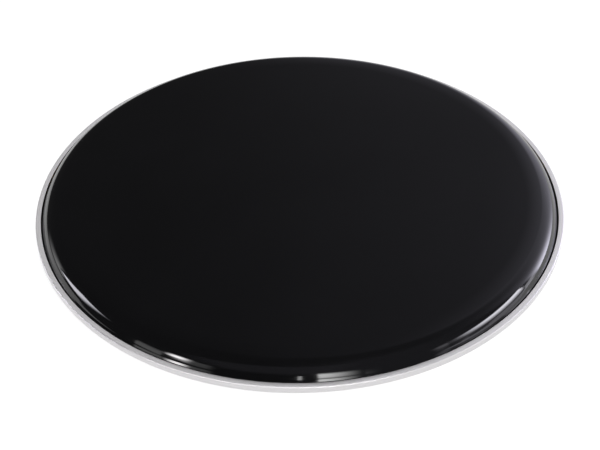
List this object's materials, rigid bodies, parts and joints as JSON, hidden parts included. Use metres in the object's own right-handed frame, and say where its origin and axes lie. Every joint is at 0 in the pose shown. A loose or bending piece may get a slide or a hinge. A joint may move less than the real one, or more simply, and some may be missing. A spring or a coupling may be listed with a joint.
{
  "type": "drum head",
  "caption": "Bass drum head: a taut glossy black film with a flat playing face, rounded shoulder and conical collar, locked with resin into a rolled aluminium flesh hoop.",
  "frame": {"origin": "centre of the flesh hoop's base plane", "axes": "+Z along the head's axis, up to the playing face; the hoop's seam lies on +Y"},
  "size_m": [0.5746, 0.5746, 0.0222],
  "materials": {
    "rolled_aluminium": "satin, rolled along the hoop",
    "black_film": "gloss polyester film",
    "cast_resin": "cured epoxy, as cast"
  },
  "bodies": {
    "root": {"flesh_hoop": "rolled_aluminium", "playing_film": "black_film", "resin_bed": "cast_resin", "seam_splice": "rolled_aluminium"}
  },
  "joints": []
}
